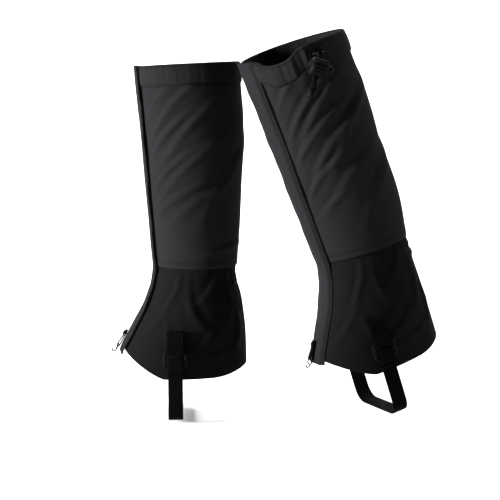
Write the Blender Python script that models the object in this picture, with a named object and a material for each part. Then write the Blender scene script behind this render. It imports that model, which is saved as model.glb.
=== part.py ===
"""A pair of knee-high hiking gaiters, held as they are worn by someone in mid-stride.

Each gaiter is modelled in its own frame: the origin is under the middle of its instep strap,
-X is towards the toe, +Z runs up the leg and the lateral side is +Y or -Y. An empty then places it.
Angles around the leg start at the shin and grow towards the lateral side.
"""
import math

import bmesh
import bpy
import numpy as np
from mathutils import Matrix, Vector

# Placing of the two gaiters: where the strap's middle stands, turn and roll in degrees, lateral side,
# and how far the free cord leans forward from the gaiter's own upright, to hang near plumb.
PAIR = {
    "left": {"at": (0.0, 0.0, 0.0), "turn": 4.0, "roll": 0.0, "lateral": 1, "cord_lean": 0.0},
    "right": {"at": (0.279, -0.084, 0.033), "turn": 20.0, "roll": -17.2, "lateral": -1, "cord_lean": 32.0},
}

# The leg of the gaiter in side view: height, front and back of the cloth, and half its width.
PROFILE = np.array([
    (0.050, -0.086, 0.099, 0.050),
    (0.095, -0.070, 0.098, 0.051),
    (0.121, -0.056, 0.097, 0.052),
    (0.154, -0.038, 0.093, 0.051),
    (0.182, -0.028, 0.088, 0.049),
    (0.205, -0.0245, 0.086, 0.049),
    (0.229, -0.0266, 0.087, 0.050),
    (0.262, -0.029, 0.089, 0.053),
    (0.303, -0.0325, 0.092, 0.057),
    (0.368, -0.037, 0.095, 0.061),
    (0.416, -0.0415, 0.095, 0.062),
    (0.480, -0.047, 0.089, 0.061),
])
RIM_FRONT = 0.471
RIM_BACK = 0.478
SEAM = 0.208          # lower edge of the upper panel
LAP = 0.014           # how far the two panels overlap
FLAP_SPLIT = 0.228    # the flap peels open above this height
CASING_TALL = 0.028
CLOTH = 0.0015
GAP = 0.0003

# Layers over the cloth, measured outwards from the middle of the cloth.
LOOP_LAYER = (0.00130, 0.00210)
HOOK_LAYER = (0.00240, 0.00315)
FLAP_LAYER = (0.00345, 0.00465)
CASING_LAYER = (-0.0028, 0.0028)
CASING_WALL = 0.001

# Angles in degrees around the leg.
FLAP_SEWN = 21.0
FLAP_FREE = -21.0
SLIT = (4.0, 13.0)
LOOP_SPAN = (-19.0, 3.0)
AROUND = 32

# Instep strap and its buckles.
STRAP_WIDE = 0.020
STRAP_THICK = 0.0015
STRAP_REACH = 0.0565   # centre of the webbing beside the boot
STRAP_TOP = 0.0655
STRAP_CORNER = 0.016
BUCKLE_WIDE = 0.032
BUCKLE_TALL = 0.022
BUCKLE_BOTTOM = 0.076
BUCKLE_THICK = 0.0032
BUCKLE_REACH = 0.0580
BAR = 0.0030
TAB_TOP = 0.126

# Cord lock, cord and eyelets on the lateral side.
CORD = 0.003
STRAND_APART = 0.0042
EYELET_DROP = 0.0125
LOCK_RADIUS = 0.0115
LOCK_LONG = 0.021
LOCK_AT = (0.013, 0.0775, 0.446)
PLUNGER_RADIUS = 0.0068
PLUNGER_PROUD = 0.008
PLUNGER_TRAVEL = 0.003
CORD_END_DROP = 0.032
CORD_END_LONG = 0.010
EYELETS_APART = 0.013
LOCK_FLOOR = 0.002
LOCK_SLOT = (0.0048, 0.0026)
SPRING_WIRE = 0.0008
SPRING_RADIUS = 0.0042
SPRING_TURNS = 3
SPRING_LONG = 0.0030

# Lace hook on the flap's foot: height, drop below its tab, wire and half width.
HOOK_HEIGHT = 0.104
HOOK_DROP = 0.010
HOOK_WIRE = 0.0018
HOOK_HALF = 0.0062
HOOK_TAB_WIDE = 0.008
RIVET_UP = 0.008

COLOURS = {
    "oxford": ((0.030, 0.030, 0.032), 0.8, 0.0),
    "ripstop": ((0.012, 0.012, 0.014), 0.6, 0.0),
    "webbing": ((0.007, 0.007, 0.008), 0.8, 0.0),
    "fastener": ((0.010, 0.010, 0.010), 0.95, 0.0),
    "acetal": ((0.010, 0.010, 0.011), 0.35, 0.0),
    "cord": ((0.009, 0.009, 0.009), 0.7, 0.0),
    "steel": ((0.050, 0.050, 0.052), 0.35, 1.0),
    "elastic": ((0.015, 0.015, 0.015), 0.85, 0.0),
}


def material(name, finish):
    """A Principled material of its own for one piece."""
    colour, rough, metal = COLOURS[finish]
    mat = bpy.data.materials.new(name)
    mat.use_nodes = True
    shader = mat.node_tree.nodes["Principled BSDF"]
    shader.inputs["Base Color"].default_value = (*colour, 1.0)
    shader.inputs["Roughness"].default_value = rough
    shader.inputs["Metallic"].default_value = metal
    return mat


def add_mesh(name, points, faces, parent, finish, smooth=True):
    """Makes one closed mesh with its faces turned outwards and hangs it under its parent."""
    mesh = bpy.data.meshes.new(name)
    mesh.from_pydata([tuple(p) for p in points], [], faces)
    solid = bmesh.new()
    solid.from_mesh(mesh)
    bmesh.ops.remove_doubles(solid, verts=solid.verts, dist=0.000002)
    bmesh.ops.recalc_face_normals(solid, faces=solid.faces)
    solid.to_mesh(mesh)
    solid.free()
    if smooth:
        mesh.shade_smooth()
        mesh.set_sharp_from_angle(angle=math.radians(40))
    piece = bpy.data.objects.new(name, mesh)
    bpy.context.scene.collection.objects.link(piece)
    piece.parent = parent
    piece.data.materials.append(material(name, finish))
    return piece


def add_empty(name, parent=None, matrix=None):
    """Makes an empty that places or turns what hangs under it."""
    empty = bpy.data.objects.new(name, None)
    bpy.context.scene.collection.objects.link(empty)
    empty.parent = parent
    if matrix is not None:
        empty.matrix_basis = matrix
    return empty


def leg(angle, height, out, lateral):
    """Point of the gaiter's wall: an oval around the leg whose front, back and width follow the profile."""
    front = np.interp(height, PROFILE[:, 0], PROFILE[:, 1])
    back = np.interp(height, PROFILE[:, 0], PROFILE[:, 2])
    half = np.interp(height, PROFILE[:, 0], PROFILE[:, 3])
    turn = np.radians(angle)
    x = (front + back) / 2 - ((back - front) / 2 + out) * np.cos(turn)
    y = lateral * (half + out) * np.sin(turn)
    return np.stack([x, y, height + 0.0 * x], axis=-1)


def rim(angle):
    """Height of the top edge, which rises a little from the shin to the calf."""
    return RIM_FRONT + (RIM_BACK - RIM_FRONT) * (1 - np.cos(np.radians(angle))) / 2


def hem(angle):
    """Height of the bottom edge: high over the laces, low at the sides, a little up at the heel."""
    forward = np.cos(np.radians(angle))
    instep = np.clip((forward - 0.25) / 0.75, 0, 1)
    heel = np.clip((-forward - 0.45) / 0.55, 0, 1)
    return 0.058 + 0.036 * instep ** 1.2 + 0.012 * heel ** 2


def grid_solid(name, outer, inner, parent, finish):
    """A closed sheet: two grids of points, one over the other, joined along their four edges."""
    rows, cols = outer.shape[:2]
    points = np.concatenate([outer.reshape(-1, 3), inner.reshape(-1, 3)])
    flip = rows * cols

    def at(row, col, layer=0):
        return row * cols + col + layer * flip

    faces = []
    for row in range(rows - 1):
        for col in range(cols - 1):
            faces.append((at(row, col), at(row, col + 1), at(row + 1, col + 1), at(row + 1, col)))
            faces.append((at(row, col, 1), at(row + 1, col, 1), at(row + 1, col + 1, 1), at(row, col + 1, 1)))
    for col in range(cols - 1):
        faces.append((at(0, col + 1), at(0, col), at(0, col, 1), at(0, col + 1, 1)))
        faces.append((at(rows - 1, col), at(rows - 1, col + 1), at(rows - 1, col + 1, 1), at(rows - 1, col, 1)))
    for row in range(rows - 1):
        faces.append((at(row, 0), at(row + 1, 0), at(row + 1, 0, 1), at(row, 0, 1)))
        faces.append((at(row + 1, cols - 1), at(row, cols - 1), at(row, cols - 1, 1), at(row + 1, cols - 1, 1)))
    return add_mesh(name, points, faces, parent, finish)


def leg_patch(name, side, span, low, high, layer, rows, cols, finish, parent=None):
    """A patch of cloth on the leg between two angles and two edges; layer gives its two faces."""
    angle = np.linspace(span[0], span[1], cols)[None, :]
    up = np.linspace(0, 1, rows)[:, None]
    height = low(angle) * (1 - up) + high(angle) * up
    angle = angle + 0.0 * up
    inner_out, outer_out = layer(height) if callable(layer) else layer
    outer = leg(angle, height, outer_out, side["lateral"])
    inner = leg(angle, height, inner_out, side["lateral"])
    return grid_solid(name, outer, inner, parent or side["frame"], finish)


def sweep(name, path, across, outward, parent, finish):
    """A rectangular band swept along a path; across and outward are its half sizes as vectors."""
    count = len(path)
    corners = [(-1, -1), (1, -1), (1, 1), (-1, 1)]
    points = [path[i] + a * across[i] + b * outward[i] for i in range(count) for a, b in corners]
    faces = []
    for i in range(count - 1):
        here, after = 4 * i, 4 * (i + 1)
        for k in range(4):
            faces.append((here + k, here + (k + 1) % 4, after + (k + 1) % 4, after + k))
    faces.append((3, 2, 1, 0))
    faces.append(tuple(4 * (count - 1) + k for k in range(4)))
    return add_mesh(name, points, faces, parent, finish)


def turned(name, profile, centre, axis, parent, finish, sides=20, ring=False):
    """A turned piece: (radius, distance) points carried round an axis; a ring's profile is closed."""
    turn = Vector(axis).to_track_quat("Z", "X").to_matrix()
    points, faces = [], []
    for radius, along in profile:
        for k in range(sides):
            spin = 2 * math.pi * k / sides
            points.append(turn @ Vector((radius * math.cos(spin), radius * math.sin(spin), along)) + Vector(centre))
    last = len(profile) if ring else len(profile) - 1
    for i in range(last):
        here, after = i * sides, (i + 1) % len(profile) * sides
        for k in range(sides):
            faces.append((here + k, here + (k + 1) % sides, after + (k + 1) % sides, after + k))
    if not ring:
        faces.append(tuple(range(sides)))
        faces.append(tuple(range((len(profile) - 1) * sides, len(profile) * sides)))
    return add_mesh(name, points, faces, parent, finish)


def tube(name, points, diameter, parent, finish, resolution=2):
    """A cord or wire: a curve through the points with a round bevel and filled ends."""
    curve = bpy.data.curves.new(name, "CURVE")
    curve.dimensions = "3D"
    curve.bevel_depth = diameter / 2
    curve.bevel_resolution = resolution
    curve.use_fill_caps = True
    spline = curve.splines.new("POLY")
    spline.points.add(len(points) - 1)
    for spot, place in zip(spline.points, points):
        spot.co = (*place, 1.0)
    piece = bpy.data.objects.new(name, curve)
    bpy.context.scene.collection.objects.link(piece)
    piece.parent = parent
    piece.data.materials.append(material(name, finish))
    return piece


def cut(piece, tool_points, tool_faces):
    """Cuts a closed tool shape out of a piece and leaves the result in its mesh."""
    tool = add_mesh("cutter", tool_points, tool_faces, piece.parent, "steel", smooth=False)
    tool.hide_render = True
    tool.display_type = "WIRE"
    step = piece.modifiers.new("cut", "BOOLEAN")
    step.operation = "DIFFERENCE"
    step.solver = "EXACT"
    step.object = tool
    bpy.context.view_layer.update()
    shape = bpy.data.meshes.new_from_object(piece.evaluated_get(bpy.context.evaluated_depsgraph_get()))
    piece.modifiers.clear()
    piece.data = shape
    bpy.data.objects.remove(tool)


def prism(centre, half, axis, sides=12):
    """Points and faces of an oval prism: half is (half width, half depth, half length) about its axis."""
    turn = Vector(axis).to_track_quat("Z", "X").to_matrix()
    points = []
    for end in (-1, 1):
        for k in range(sides):
            spin = 2 * math.pi * (k + 0.5) / sides
            local = Vector((half[0] * math.cos(spin), half[1] * math.sin(spin), end * half[2]))
            points.append(tuple(turn @ local + Vector(centre)))
    faces = [tuple(range(sides))[::-1], tuple(range(sides, 2 * sides))]
    faces += [(k, (k + 1) % sides, sides + (k + 1) % sides, sides + k) for k in range(sides)]
    return points, faces


def panels(side):
    """The two cloth panels, the hem facing inside the bottom edge and the elastic at the ankle."""
    name = side["name"]
    whole = (SLIT[1], 360.0 + SLIT[0])

    def lower_layer(height):
        tuck = 0.0021 * np.clip((height - SEAM + 0.010) / 0.007, 0, 1)
        return -CLOTH / 2 - tuck, CLOTH / 2 - tuck

    def level(height):
        return lambda angle: height + 0.0 * angle

    leg_patch(f"{name}_upper_panel", side, whole, level(SEAM), lambda a: rim(a) - CASING_TALL - GAP,
              (-CLOTH / 2, CLOTH / 2), 7, AROUND, "oxford")
    leg_patch(f"{name}_lower_panel", side, whole, hem, level(SEAM + LAP), lower_layer, 10, AROUND, "ripstop")
    leg_patch(f"{name}_hem_facing", side, whole, lambda a: hem(a) + 0.0005, lambda a: hem(a) + 0.014,
              (-0.0031, -0.0019), 3, AROUND, "ripstop")
    leg_patch(f"{name}_ankle_elastic", side, (95.0, 265.0), level(SEAM + 0.002), level(SEAM + LAP - 0.002),
              (-0.0049, -0.0034), 2, 16, "elastic")


def front_closure(side):
    """The flap over the slit, its two strips of hook-and-loop tape and the hinge where it is sewn on."""
    name, lateral = side["name"], side["lateral"]
    middle = sum(FLAP_LAYER) / 2
    bottom = Vector(leg(FLAP_SEWN, FLAP_SPLIT, middle, lateral))
    hinge = add_empty(f"{name}_flap_hinge", side["frame"], Matrix.Translation(bottom))
    shift = Matrix.Translation(-bottom)
    span = (FLAP_SEWN, FLAP_FREE)
    tape = (LOOP_SPAN[1], LOOP_SPAN[0])

    def level(height):
        return lambda angle: height + 0.0 * angle

    def under_rim(drop):
        return lambda angle: rim(angle) - drop

    pieces = [
        leg_patch(f"{name}_front_flap", side, span, level(FLAP_SPLIT + 0.003), under_rim(0.0),
                  FLAP_LAYER, 8, 10, "oxford", hinge),
        leg_patch(f"{name}_hook_tape", side, tape, level(FLAP_SPLIT + 0.005), under_rim(CASING_TALL + 0.004),
                  HOOK_LAYER, 7, 6, "fastener", hinge),
    ]
    for piece in pieces:
        piece.data.transform(shift)
    foot = leg_patch(f"{name}_flap_foot", side, span, lambda a: hem(a) - 0.003, level(FLAP_SPLIT - 0.003),
                     FLAP_LAYER, 8, 10, "oxford")
    loop = leg_patch(f"{name}_loop_tape", side, tape, lambda a: hem(a) + 0.004, under_rim(CASING_TALL + 0.003),
                     LOOP_LAYER, 13, 6, "fastener")
    return foot, loop


def top_casing(side):
    """The folded tunnel at the rim, open at both ends of the slit, with the cord inside it."""
    name, lateral = side["name"], side["lateral"]
    angles = np.linspace(SLIT[1], 360.0 + SLIT[0], AROUND)
    inner, outer = CASING_LAYER
    wall = CASING_WALL
    rings = []
    for low, high, near, far in ((0.0, 0.0, inner, outer), (wall, wall, inner + wall, outer - wall)):
        edge_low = rim(angles) - CASING_TALL + low
        edge_high = rim(angles) - high
        rings.append([leg(angles, edge_low, near, lateral), leg(angles, edge_low, far, lateral),
                      leg(angles, edge_high, far, lateral), leg(angles, edge_high, near, lateral)])
    count = len(angles)
    points = np.concatenate([corner for ring in rings for corner in ring])
    faces = []
    for i in range(count - 1):
        for k in range(4):
            a, b = k * count + i, (k + 1) % 4 * count + i
            faces.append((a, b, b + 1, a + 1))
            faces.append((a + 4 * count, a + 4 * count + 1, b + 4 * count + 1, b + 4 * count))
    for end in (0, count - 1):
        for k in range(4):
            a, b = k * count + end, (k + 1) % 4 * count + end
            faces.append((a, a + 4 * count, b + 4 * count, b))
    casing = add_mesh(f"{name}_top_casing", points, faces, side["frame"], "oxford")

    middle = [leg(a, rim(a) - EYELET_DROP, 0.0, lateral) for a in np.linspace(SLIT[1] + 2, 358.0 + SLIT[0], 32)]
    tube(f"{name}_drawcord", middle, CORD, side["frame"], "cord")
    return casing


def strand_route(start, out, top, down, length):
    """Points of one strand: straight out of its eyelet, over in an even bend, then straight down."""
    bend = [start, start + out * 0.012, top - down * 0.008, top]
    route = []
    for step in range(9):
        t = step / 8
        weights = ((1 - t) ** 3, 3 * t * (1 - t) ** 2, 3 * t ** 2 * (1 - t), t ** 3)
        route.append(sum((w * p for w, p in zip(weights, bend)), Vector()))
    return route + [top + down * length * step / 6 for step in range(1, 7)]


def cord_lock(side, casing):
    """Eyelets in the casing, two strands of cord, the spring lock they run through and the cord end."""
    name, lateral, frame = side["name"], side["lateral"], side["frame"]
    lean = math.radians(side["cord_lean"])
    lock = Vector((LOCK_AT[0], lateral * LOCK_AT[1], LOCK_AT[2]))
    across = Vector((math.cos(lean), 0, -math.sin(lean)))
    down = Vector((-math.sin(lean), 0, -math.cos(lean)))
    out = Vector((0, lateral, 0))
    height = RIM_FRONT + 0.004 - EYELET_DROP
    above = lock.x + (height - lock.z) * math.tan(lean)
    straight = LOCK_RADIUS + CORD_END_DROP - CORD_END_LONG / 2 - 2 * GAP
    for sign, which in ((-1, "front"), (1, "rear")):
        spot = Vector((above + sign * EYELETS_APART / 2, lateral * 0.0640, height))
        cut(casing, *prism(spot, (0.0030, 0.0030, 0.0035), out))
        flange = [(0.0019, -0.0012), (0.0027, -0.0012), (0.0027, 0.0003), (0.0046, 0.0003),
                  (0.0046, 0.0010), (0.0019, 0.0010)]
        turned(f"{name}_eyelet_{which}", flange, spot + out * 0.0004, out, frame, "steel", 14, ring=True)
        top = lock + across * (sign * STRAND_APART / 2) - down * LOCK_RADIUS
        tube(f"{name}_cord_tail_{which}", strand_route(spot - out * 0.0004, out, top, down, straight),
             CORD, frame, "cord")

    half = LOCK_LONG / 2
    cavity = PLUNGER_RADIUS + GAP
    tilt = Matrix.Translation(lock) @ Matrix.Rotation(lean, 4, "Y")
    barrel_home = add_empty(f"{name}_lock_slide", frame, tilt)
    barrel = turned(
        f"{name}_cord_lock_barrel",
        [(LOCK_RADIUS - 0.002, -half), (LOCK_RADIUS, 0.002 - half), (LOCK_RADIUS, half - 0.001),
         (LOCK_RADIUS - 0.001, half), (cavity, half), (cavity, LOCK_FLOOR - half), (0.0009, LOCK_FLOOR - half),
         (0.0009, -half)],
        (0, 0, 0), (1, 0, 0), barrel_home, "acetal", 24, ring=True)
    cut(barrel, *prism((0, 0, 0), (*LOCK_SLOT, LOCK_RADIUS + 0.003), (0, 0, 1)))
    plunger_home = add_empty(f"{name}_plunger_slide", barrel_home, Matrix.Translation((half, 0, 0)))
    seat = LOCK_FLOOR + SPRING_LONG + SPRING_WIRE + 4 * GAP + PLUNGER_TRAVEL - LOCK_LONG
    plunger = turned(
        f"{name}_cord_lock_plunger",
        [(PLUNGER_RADIUS - 0.0005, seat), (PLUNGER_RADIUS, seat + 0.0005), (PLUNGER_RADIUS, PLUNGER_PROUD - 0.002),
         (PLUNGER_RADIUS - 0.002, PLUNGER_PROUD)],
        (0, 0, 0), (1, 0, 0), plunger_home, "acetal", 20)
    slot_middle = -half + PLUNGER_TRAVEL / 2
    cut(plunger, *prism((slot_middle, 0, 0), (LOCK_SLOT[0] + 0.0018, LOCK_SLOT[1], 0.012), (0, 0, 1)))
    coil = []
    for step in range(SPRING_TURNS * 12 + 1):
        spin = 2 * math.pi * step / 12
        along = LOCK_FLOOR - half + 0.0002 + SPRING_WIRE / 2 + SPRING_LONG * step / (SPRING_TURNS * 12)
        coil.append((along, SPRING_RADIUS * math.cos(spin), SPRING_RADIUS * math.sin(spin)))
    tube(f"{name}_cord_lock_spring", coil, SPRING_WIRE, barrel_home, "steel", 1)
    end_profile = [(0.0035, -CORD_END_LONG / 2), (0.0052, -0.0035), (0.0052, 0.003), (0.0040, CORD_END_LONG / 2)]
    turned(f"{name}_cord_end", end_profile, lock + down * CORD_END_DROP, -down, frame, "acetal", 16)


def buckle_side(side, which, sign):
    """A ladder-lock buckle in the loop of its tab, with the strap's end threaded through it."""
    name, frame = side["name"], side["frame"]
    reach = sign * BUCKLE_REACH
    axis_height = BUCKLE_BOTTOM + BUCKLE_TALL - BAR / 2
    home = add_empty(f"{name}_{which}_buckle_hinge", frame, Matrix.Translation((0, reach, axis_height)))
    low = BUCKLE_BOTTOM - axis_height
    high = BUCKLE_TALL + low
    wide, thick = BUCKLE_WIDE / 2, BUCKLE_THICK / 2
    outline = [(-wide, low), (wide, low), (wide, high), (-wide, high)]
    rail = 0.0040
    slots = [(low + BAR, low + BAR + 0.0055), (low + 2 * BAR + 0.0055, high - BAR)]
    buckle = add_mesh(
        f"{name}_{which}_buckle",
        [(x, y * thick, z) for y in (-1, 1) for x, z in outline],
        [(0, 1, 2, 3), (7, 6, 5, 4), (0, 4, 5, 1), (1, 5, 6, 2), (2, 6, 7, 3), (3, 7, 4, 0)],
        home, "acetal")
    for bottom, top in slots:
        box = [(x, y * 0.01, z) for y in (-1, 1) for x, z in
               ((rail - wide, bottom), (wide - rail, bottom), (wide - rail, top), (rail - wide, top))]
        cut(buckle, box, [(0, 1, 2, 3), (7, 6, 5, 4), (0, 4, 5, 1), (1, 5, 6, 2), (2, 6, 7, 3), (3, 7, 4, 0)])

    across = Vector((1, 0, 0))

    def band(title, route, width, parent):
        """Webbing along a route of (outward, up) points, as thick as the strap."""
        points = [Vector((0, sign * p, q)) for p, q in route]
        normals = []
        for i, here in enumerate(points):
            before, after = points[max(i - 1, 0)], points[min(i + 1, len(points) - 1)]
            normals.append((after - before).normalized().cross(across) * STRAP_THICK / 2)
        return sweep(title, points, [across * width / 2] * len(points), normals, parent, "webbing")

    # The strap's end comes up behind the buckle, goes forward over the middle bar and back down.
    bar_height = low + BAR + 0.0055 + BAR / 2
    clear = math.hypot(BAR / 2, thick) + STRAP_THICK / 2 + GAP
    end = STRAP_TOP + GAP - axis_height
    behind = -clear
    hook = [(behind - 0.0004, end), (behind - 0.0004, low - 0.001), (behind, bar_height - 0.001)]
    hook += [(-clear * math.cos(math.radians(t)), bar_height + clear * math.sin(math.radians(t)))
             for t in range(0, 181, 30)]
    hook += [(clear, bar_height - 0.002), (clear, low - 0.004)]
    band(f"{name}_{which}_strap_end", hook, STRAP_WIDE, home)

    # The tab: a folded loop of webbing round the top bar, sewn to the panel above it.
    loop = BAR * 0.75 + STRAP_THICK / 2 + GAP
    at = BUCKLE_REACH
    route = [(at - loop, TAB_TOP), (at - loop, axis_height + 0.004)]
    route += [(at - loop * math.cos(math.radians(t)), axis_height - loop * math.sin(math.radians(t)))
              for t in range(0, 181, 30)]
    route += [(at + loop, axis_height + 0.004), (at - loop + STRAP_THICK + GAP, axis_height + 0.012),
              (at - loop + STRAP_THICK + GAP, TAB_TOP)]
    band(f"{name}_{which}_buckle_tab", route, 2 * (wide - rail) - 2 * GAP, frame)


def instep_strap(side):
    """One length of webbing under the boot, from just below one buckle to just below the other."""
    route = [(-1, STRAP_TOP), (-1, 0.040)]
    corner = STRAP_CORNER
    half = STRAP_THICK / 2
    points = [Vector((0, s * STRAP_REACH, z)) for s, z in route]
    for t in range(0, 91, 15):
        spin = math.radians(t)
        points.append(Vector((0, -STRAP_REACH + corner - corner * math.cos(spin),
                              half + corner - corner * math.sin(spin))))
    mirrored = [Vector((0, -p.y, p.z)) for p in reversed(points)]
    points = points + mirrored
    across = Vector((1, 0, 0))
    normals = []
    for i in range(len(points)):
        before, after = points[max(i - 1, 0)], points[min(i + 1, len(points) - 1)]
        normals.append((after - before).normalized().cross(across) * half)
    count = len(points)
    sweep(f"{side['name']}_instep_strap", points, [across * STRAP_WIDE / 2] * count, normals,
          side["frame"], "webbing")


def lace_hook(side, foot, panel_layers):
    """The wire hook for the laces, the webbing tab that carries it and the rivet that holds the tab."""
    name, frame = side["name"], side["frame"]
    front = leg(0.0, HOOK_HEIGHT, FLAP_LAYER[1], side["lateral"])
    above = leg(0.0, HOOK_HEIGHT + 0.010, 0.0, side["lateral"])
    slope = above - leg(0.0, HOOK_HEIGHT - 0.010, 0.0, side["lateral"])
    up = Vector(slope).normalized()
    out = Vector((0, 1, 0)).cross(up)
    out = out if out.x < 0 else -out
    base = Vector(front)
    hang = base + out * 0.0034 - up * HOOK_DROP
    across = Vector((0, 1, 0))
    loop = HOOK_WIRE / 2 + STRAP_THICK / 2 + GAP
    route = [base + out * (STRAP_THICK / 2 + GAP * 2) + up * 0.013, base + out * (STRAP_THICK / 2 + GAP * 2)]
    for t in range(0, 181, 30):
        spin = math.radians(t)
        route.append(hang - out * loop * math.cos(spin) - up * loop * math.sin(spin))
    route += [base + out * (STRAP_THICK * 1.5 + GAP * 3) + up * 0.003,
              base + out * (STRAP_THICK * 1.5 + GAP * 3) + up * 0.013]
    normals = []
    for i in range(len(route)):
        before, after = route[max(i - 1, 0)], route[min(i + 1, len(route) - 1)]
        normals.append((after - before).normalized().cross(across) * STRAP_THICK / 2)
    tab = sweep(f"{name}_hook_tab", route, [across * HOOK_TAB_WIDE / 2] * len(route), normals, frame, "webbing")
    spot = base + up * RIVET_UP
    for piece in (tab, foot) + panel_layers:
        cut(piece, *prism(spot, (0.0019, 0.0019, 0.0105), out, 10))
    rivet = [(0.0030, -0.0086), (0.0030, -0.0077), (0.0015, -0.0077), (0.0015, 0.0041), (0.0034, 0.0041),
             (0.0030, 0.0053), (0.0010, 0.0057)]
    turned(f"{name}_hook_rivet", rivet, spot, out, frame, "steel", 14)
    home = add_empty(f"{name}_lace_hook_hinge", frame, Matrix.Translation(hang))
    # Wire bent into a flat loop round the tab, closing into a hook that reaches forward and up.
    bends = ((0.0016, 0.0075), (HOOK_HALF, 0.0062), (HOOK_HALF, 0.0),
             (-HOOK_HALF, 0.0), (-HOOK_HALF, 0.0062), (-0.0016, 0.0075))
    points = [Vector((0, y, 0)) - up * reach for y, reach in bends]
    tip = [(-0.0004, 0.0100), (0.0012, 0.0122), (0.0036, 0.0118), (0.0048, 0.0092)]
    points += [out * a - up * b + Vector((0, -0.0004, 0)) for a, b in tip]
    tube(f"{name}_lace_hook", points, HOOK_WIRE, home, "steel", 2)


def build(name, place):
    """Builds one gaiter under the empty that places it."""
    pose = (Matrix.Translation(place["at"]) @ Matrix.Rotation(math.radians(place["roll"]), 4, "Y")
            @ Matrix.Rotation(math.radians(place["turn"]), 4, "Z"))
    side = {"name": name, "frame": add_empty(f"{name}_gaiter", None, pose)}
    side.update(lateral=place["lateral"], cord_lean=place["cord_lean"])
    panels(side)
    foot, loop = front_closure(side)
    cord_lock(side, top_casing(side))
    for which, sign in (("lateral", place["lateral"]), ("medial", -place["lateral"])):
        buckle_side(side, which, sign)
    instep_strap(side)
    panel = bpy.data.objects[f"{name}_lower_panel"]
    facing = bpy.data.objects[f"{name}_hem_facing"]
    lace_hook(side, foot, (loop, panel, facing))


for old in list(bpy.data.objects):
    bpy.data.objects.remove(old)
for pair_name, pair_place in PAIR.items():
    build(pair_name, pair_place)
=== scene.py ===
"""A pair of hiking gaiters: the finished looks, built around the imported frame."""
import math

import bpy
import numpy as np
from mathutils import Matrix, Vector


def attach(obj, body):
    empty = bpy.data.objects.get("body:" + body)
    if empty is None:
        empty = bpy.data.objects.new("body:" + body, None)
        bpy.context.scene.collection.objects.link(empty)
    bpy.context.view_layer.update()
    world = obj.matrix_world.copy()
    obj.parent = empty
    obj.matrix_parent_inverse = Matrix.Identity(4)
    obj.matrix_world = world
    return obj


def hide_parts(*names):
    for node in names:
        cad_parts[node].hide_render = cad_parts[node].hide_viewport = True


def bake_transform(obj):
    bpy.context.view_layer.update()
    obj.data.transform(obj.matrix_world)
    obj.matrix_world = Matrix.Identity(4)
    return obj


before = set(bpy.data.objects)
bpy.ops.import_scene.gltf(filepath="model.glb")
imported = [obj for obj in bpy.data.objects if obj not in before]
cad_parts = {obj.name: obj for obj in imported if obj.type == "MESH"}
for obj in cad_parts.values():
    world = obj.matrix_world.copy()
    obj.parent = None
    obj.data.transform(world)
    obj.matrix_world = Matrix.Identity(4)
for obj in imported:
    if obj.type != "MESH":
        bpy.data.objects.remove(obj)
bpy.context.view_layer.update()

# ---------------------------------------------------------------------------------------------
# Upper panels. One piece of matt oxford cloth wraps each calf. Both gaiters are cut to one pattern and
# mirrored. The leg's bend and the pull of the flap draw the cloth into long slanting folds, and its
# lower edge is turned up and sewn over the lower panel.
# ---------------------------------------------------------------------------------------------
# Where each leg stands, its turn and lean, its outer side, and how far its cord hangs from the leg's line.
PAIR = {
    "left": {"at": (0.0, 0.0, 0.0), "turn": 4.0, "roll": 0.0, "lateral": 1, "lean": 0.0},
    "right": {"at": (0.279, -0.084, 0.033), "turn": 20.0, "roll": -17.2, "lateral": -1, "lean": 32.0},
}
# Height, front, back and half width of the cloth: full calf, narrow ankle, and a flare over the boot.
PROFILE = np.array([
    (0.050, -0.086, 0.099, 0.050), (0.095, -0.070, 0.098, 0.051), (0.121, -0.056, 0.097, 0.052),
    (0.154, -0.038, 0.093, 0.051), (0.182, -0.028, 0.088, 0.049), (0.205, -0.0245, 0.086, 0.049),
    (0.229, -0.0266, 0.087, 0.050), (0.262, -0.029, 0.089, 0.053), (0.303, -0.0325, 0.092, 0.057),
    (0.368, -0.037, 0.095, 0.061), (0.416, -0.0415, 0.095, 0.062), (0.480, -0.047, 0.089, 0.061)])
RIM_FRONT, RIM_BACK = 0.471, 0.478
SEAM, CASING_TALL = 0.208, 0.028
SLIT, FLAP_SEWN = (4.0, 13.0), 21.0
WHOLE = (SLIT[1], 360.0 + SLIT[0])
LEG_RADIUS = 0.062
# A wave texture of scale 1 has its bands this far apart.
WAVE = 0.314

heights = np.arange(0.0, 0.56, 0.001)
even = np.hanning(25) / np.hanning(25).sum()
curves = [np.convolve(np.pad(np.interp(heights, PROFILE[:, 0], PROFILE[:, k]), 12, mode="edge"), even, "valid")
          for k in (1, 2, 3)]
for name, side in PAIR.items():
    side["name"] = name
    side["pose"] = np.array(Matrix.Translation(side["at"]) @ Matrix.Rotation(math.radians(side["roll"]), 4, "Y")
                            @ Matrix.Rotation(math.radians(side["turn"]), 4, "Z"))


def leg(angle, height, out, side):
    """Point of the wall: an oval round the leg, its front, back and width read from the evened profile."""
    front, back, half = (np.interp(height, heights, curve) for curve in curves)
    turn = np.radians(angle)
    x = (front + back) / 2 - ((back - front) / 2 + out) * np.cos(turn)
    y = side["lateral"] * (half + out) * np.sin(turn)
    return np.stack(np.broadcast_arrays(x, y, height), axis=-1)


def half_turn(angle):
    """Angle brought between -180 and 180 degrees, with 0 at the shin."""
    return (angle + 180.0) % 360.0 - 180.0


def rim(angle, side):
    """Top edge: rises a little from shin to calf. Where the leg leans, the near side sags between the flap and
    the cord lock, and the far side is pushed up."""
    around = half_turn(angle)
    level = RIM_FRONT + 0.0025 + (RIM_BACK - RIM_FRONT) * (1 - np.cos(np.radians(angle))) / 2
    if side["roll"]:
        level = level - 0.0110 / ((1 + np.exp((30.0 - around) / 3.5)) * (1 + np.exp((around - 67.0) / 4.0)))
        level = level + 0.0100 * ((1 - np.sin(np.radians(angle))) / 2) ** 1.5
    return level


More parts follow.
